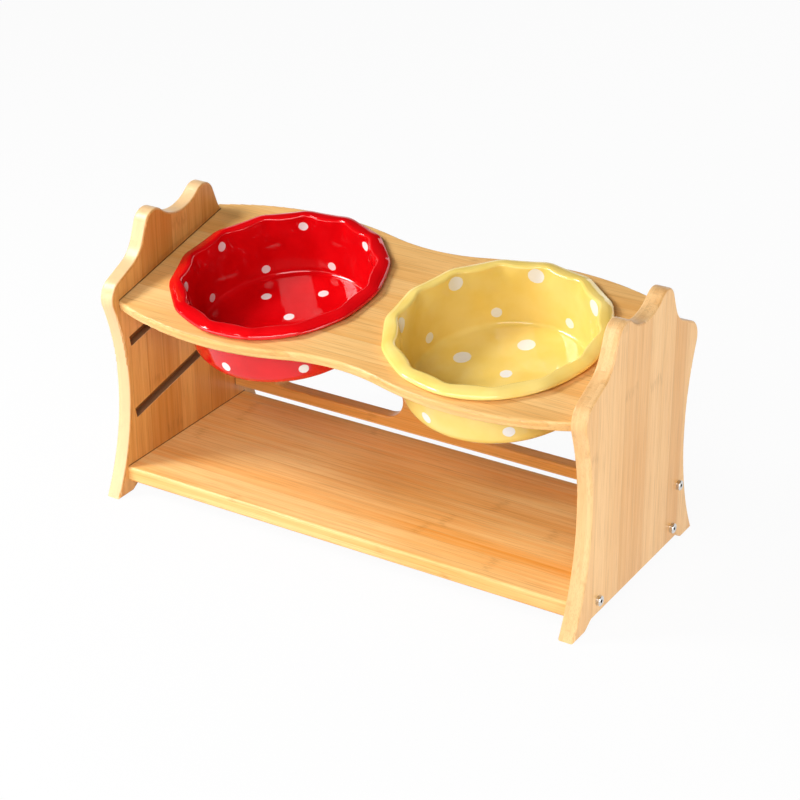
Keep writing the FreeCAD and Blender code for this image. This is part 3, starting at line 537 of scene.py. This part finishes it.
floor_reach, floor_height = 6, -0.0002
floor_shine = 0.95
white_light = (1.0, 1.0, 1.0, 1.0)
floor_white, tree, shader = new_finish("floor_white")
tree.nodes.remove(shader)
rays = add_node(tree, "ShaderNodeLightPath").outputs
mirrored = work_out(tree, "MAXIMUM", rays["Is Glossy Ray"], rays["Is Transmission Ray"])
seen = work_out(tree, "MAXIMUM", rays["Is Camera Ray"], mirrored)
paper = add_node(tree, "ShaderNodeBsdfDiffuse", {"Color": (0.72, 0.72, 0.72, 1.0)})
white = add_node(tree, "ShaderNodeEmission", {"Color": white_light, "Strength": 1.0})
floor_look = add_node(tree, "ShaderNodeMixShader", {
    0: work_out(tree, "MULTIPLY", seen, floor_shine), 1: paper.outputs[0], 2: white.outputs[0]})
tree.links.new(floor_look.outputs[0], tree.nodes["Material Output"].inputs["Surface"])
floor_sides = ((-1, -1), (1, -1), (1, 1), (-1, 1))
floor_corners = [(x * floor_reach, y * floor_reach, floor_height) for x, y in floor_sides]
mesh = bpy.data.meshes.new("floor")
mesh.from_pydata(floor_corners, [], [(0, 1, 2, 3)])
mesh.materials.append(floor_white)
floor = bpy.data.objects.new("floor", mesh)
bpy.context.scene.collection.objects.link(floor)

backdrop_full, backdrop_end = 0.12, 0.4
room_light, mirrored_room = (0.05, 0.05, 0.05, 1.0), (0.02, 0.02, 0.02, 1.0)
world = bpy.data.worlds.new("studio")
world.use_nodes = True
bpy.context.scene.world = world
tree = world.node_tree
height = split(tree, add_node(tree, "ShaderNodeTexCoord").outputs["Generated"])[2]
rays = add_node(tree, "ShaderNodeLightPath").outputs
mirrored = work_out(tree, "MAXIMUM", rays["Is Glossy Ray"], rays["Is Transmission Ray"])
backdrop = work_out(tree, "MULTIPLY", mirrored, fade(tree, height, backdrop_full, backdrop_end))
seen = work_out(tree, "MAXIMUM", rays["Is Camera Ray"], backdrop)
room = tint(tree, mirrored, room_light, mirrored_room)
tree.links.new(tint(tree, seen, room, white_light), tree.nodes["Background"].inputs["Color"])


def seen_from(azimuth, elevation):
    """The direction from the stand to a point at that angle round it, from the front to the right, and over
    the floor: sin a cos e, -cos a cos e, sin e."""
    a, e = np.radians(azimuth), np.radians(elevation)
    return np.array([np.sin(a) * np.cos(e), -np.cos(a) * np.cos(e), np.sin(e)])


def softbox(name, azimuth, elevation, distance, wide, high, watts):
    """A rectangular lamp that faces the middle of the stand."""
    stand_middle = Vector((0, 0, 0.1))
    lamp = bpy.data.lights.new(name, "AREA")
    lamp.shape = "RECTANGLE"
    lamp.size, lamp.size_y = wide, high
    lamp.energy = watts
    tripod = bpy.data.objects.new(name, lamp)
    out = Vector(seen_from(azimuth, elevation))
    facing = out.to_track_quat("Z", "Y").to_matrix().to_4x4()
    tripod.matrix_world = Matrix.Translation(stand_middle + out * distance) @ facing
    bpy.context.scene.collection.objects.link(tripod)


softbox("key", -60, 40, distance=1.5, wide=0.45, high=0.45, watts=18.0)
softbox("front_fill", 12, 34, distance=1.5, wide=0.9, high=0.5, watts=13.0)
softbox("right_reflector", 80, 1, distance=1.2, wide=1.2, high=0.24, watts=8.5)
softbox("front_reflector", -40, 7, distance=1.0, wide=0.8, high=0.35, watts=3.5)
softbox("back_fill", 170, 28, distance=1.6, wide=1.2, high=0.6, watts=5.0)

camera_aim, camera_distance = np.array([0, 0, 0.09]), 1.601
camera_roll = np.radians(-0.38)
camera_across, camera_up = 0.00431, 0.00284
back = seen_from(31.92, 26.63)
right = np.array([-back[1], back[0], 0]) / np.hypot(back[0], back[1])
up = np.cross(back, right)
across = np.cos(camera_roll) * right + np.sin(camera_roll) * up
upward = np.cos(camera_roll) * up - np.sin(camera_roll) * right
camera_place = camera_aim + camera_distance * back + camera_across * across + camera_up * upward
camera = bpy.data.objects.new("camera", bpy.data.cameras.new("camera"))
camera.data.lens, camera.data.sensor_width = 98.24, 36.0
camera.matrix_world = Matrix(np.vstack([
    np.column_stack([across, upward, back, camera_place]), (0, 0, 0, 1)]))
bpy.context.scene.collection.objects.link(camera)
bpy.context.scene.camera = camera
bpy.context.scene.view_settings.view_transform = "Standard"
